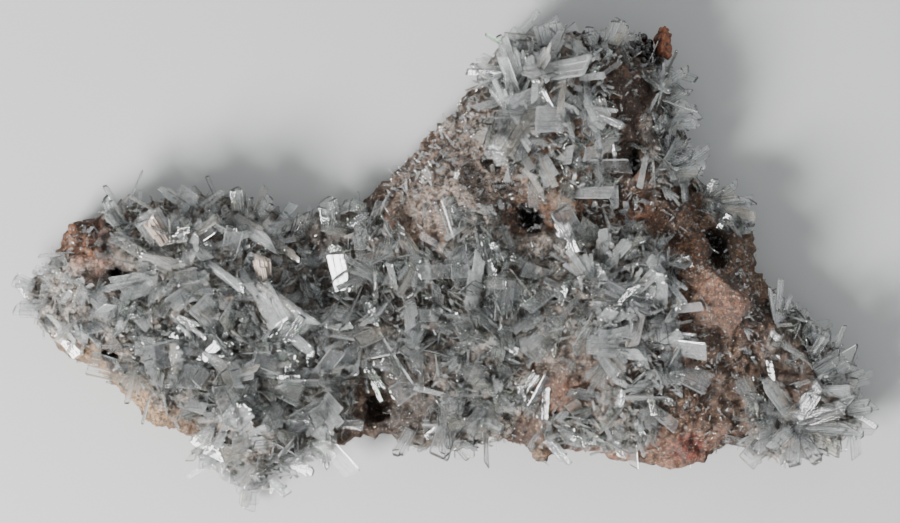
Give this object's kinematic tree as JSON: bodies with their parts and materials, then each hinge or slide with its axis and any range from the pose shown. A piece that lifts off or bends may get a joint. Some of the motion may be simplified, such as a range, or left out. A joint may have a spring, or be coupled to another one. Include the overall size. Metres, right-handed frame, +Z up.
{
  "type": "barite specimen",
  "caption": "Long, low mineral hand specimen: crusts of clear bladed crystals over a rough brown limonite rock, resting flat on its underside for display.",
  "frame": {"origin": "Middle of the specimen's box in plan, on the plane that its flat underside rests on.", "axes": "+X runs along the length, from the frosted left tip to the crystal cluster at the right tip; +Y points to the tall upper arm; +Z is up, from the underside to the crystals."},
  "size_m": [0.2414, 0.1383, 0.041],
  "materials": {
    "limonite": "matte",
    "barite": "gloss",
    "rust": "matte"
  },
  "bodies": {
    "root": {"matrix": "limonite", "main_druse": "barite", "upper_arm_druse": "barite", "right_flank_fan": "barite", "right_tip_cluster": "barite", "rust_chip": "rust"}
  },
  "joints": []
}
